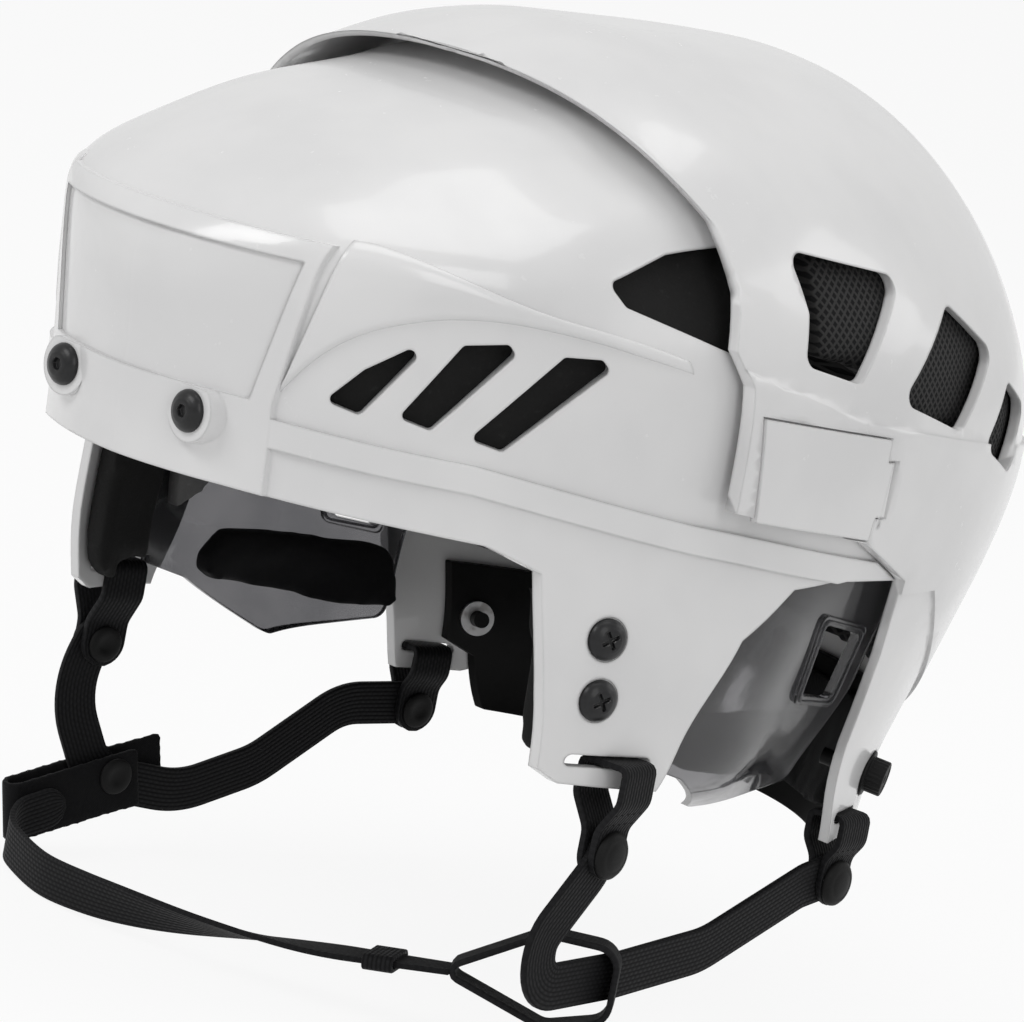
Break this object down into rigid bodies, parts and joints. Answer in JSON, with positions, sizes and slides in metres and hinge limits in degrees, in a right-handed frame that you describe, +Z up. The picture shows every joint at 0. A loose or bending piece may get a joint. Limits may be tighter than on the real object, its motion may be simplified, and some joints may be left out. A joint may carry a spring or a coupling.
{
  "type": "ice hockey helmet",
  "caption": "Ice hockey helmet: two-part white shell that slides to size, ear guards, foam lining, rear cradle with fit dials, and a chin strap harness.",
  "frame": {"origin": "middle of the head, level with the lower edge of the brow", "axes": "+Z up, the face looks along -Y, +X is the wearer's left"},
  "size_m": [0.2124, 0.2914, 0.2477],
  "materials": {
    "shell": "gloss moulded shell, greyish white",
    "steel": "black coated steel",
    "bare_steel": "plain steel pin",
    "foam": "dark closed-cell foam",
    "grey_foam": "grey foam",
    "guard": "smoke grey translucent plastic",
    "webbing": "black woven webbing",
    "pad_cloth": "black padded cloth",
    "hardware": "satin black plastic"
  },
  "bodies": {
    "front_half": {"front_shell": "shell", "brow_screws": "steel", "brow_tee_nuts": "steel", "tab_screws": "steel", "tab_tee_nuts": "steel", "front_liner": "foam", "crown_pad": "foam", "left_side_liner": "foam", "right_side_liner": "foam", "left_temple_pad": "pad_cloth", "right_temple_pad": "pad_cloth", "left_temple_block": "grey_foam", "right_temple_block": "grey_foam", "left_ear_guard": "guard", "right_ear_guard": "guard", "left_ear_pad": "pad_cloth", "right_ear_pad": "pad_cloth", "left_front_strap_loop": "webbing", "right_front_strap_loop": "webbing", "front_snaps": "hardware", "left_jaw_strap": "webbing", "right_jaw_strap": "webbing"},
    "rear_half": {"rear_shell": "shell", "rear_liner": "foam", "left_rear_strap_loop": "webbing", "right_rear_strap_loop": "webbing", "rear_snaps": "hardware", "left_latch_pin": "bare_steel", "right_latch_pin": "bare_steel"},
    "left_latch": {"left_size_latch": "shell"},
    "right_latch": {"right_size_latch": "shell"},
    "left_dial": {"left_fit_dial": "hardware"},
    "right_dial": {"right_fit_dial": "hardware"},
    "left_cradle": {"left_cradle_arm": "hardware", "left_dial_nut": "hardware", "left_cradle_pad": "pad_cloth"},
    "right_cradle": {"right_cradle_arm": "hardware", "right_dial_nut": "hardware", "right_cradle_pad": "pad_cloth"},
    "chin_harness": {"chin_strap": "webbing", "chin_keeper": "webbing", "chin_pad": "pad_cloth", "chin_snap": "hardware"}
  },
  "joints": [
    {"name": "shell_size_slide", "type": "slide", "parent": "front_half", "child": "rear_half", "axis": [0, 1, 0], "range_m": [0, 0.018], "deforming": ["left_jaw_strap", "right_jaw_strap"]},
    {"name": "left_latch_hinge", "type": "hinge", "parent": "rear_half", "child": "left_latch", "pos_m": [0.1041, 0.0276, 0.018], "axis": [0, 0, 1], "range_deg": [0, 75]},
    {"name": "right_latch_hinge", "type": "hinge", "parent": "rear_half", "child": "right_latch", "pos_m": [-0.1041, 0.0276, 0.018], "axis": [0, 0, -1], "range_deg": [0, 75]},
    {"name": "left_dial_turn", "type": "hinge", "parent": "rear_half", "child": "left_dial", "pos_m": [0.07508, 0.08, -0.066], "axis": [0.8615, 0.4877, -0.1412], "range_deg": [0, 720]},
    {"name": "right_dial_turn", "type": "hinge", "parent": "rear_half", "child": "right_dial", "pos_m": [-0.07508, 0.08, -0.066], "axis": [-0.8615, 0.4877, -0.1412], "range_deg": [0, 720]},
    {"name": "left_cradle_slide", "type": "slide", "parent": "rear_half", "child": "left_cradle", "axis": [-0.8615, -0.4877, 0.1412], "range_m": [0, 0.004]},
    {"name": "right_cradle_slide", "type": "slide", "parent": "rear_half", "child": "right_cradle", "axis": [0.8615, -0.4877, 0.1412], "range_m": [0, 0.004]},
    {"name": "chin_harness_swing", "type": "hinge", "parent": "front_half", "child": "chin_harness", "pos_m": [0, -0.02997, -0.11286], "axis": [1, 0, 0], "range_deg": [-10, 10]}
  ],
  "couplings": [
    {"joint": "left_dial_turn", "follows": "left_cradle_slide", "rad_per_m": 3141.3},
    {"joint": "right_dial_turn", "follows": "right_cradle_slide", "rad_per_m": 3141.3}
  ]
}
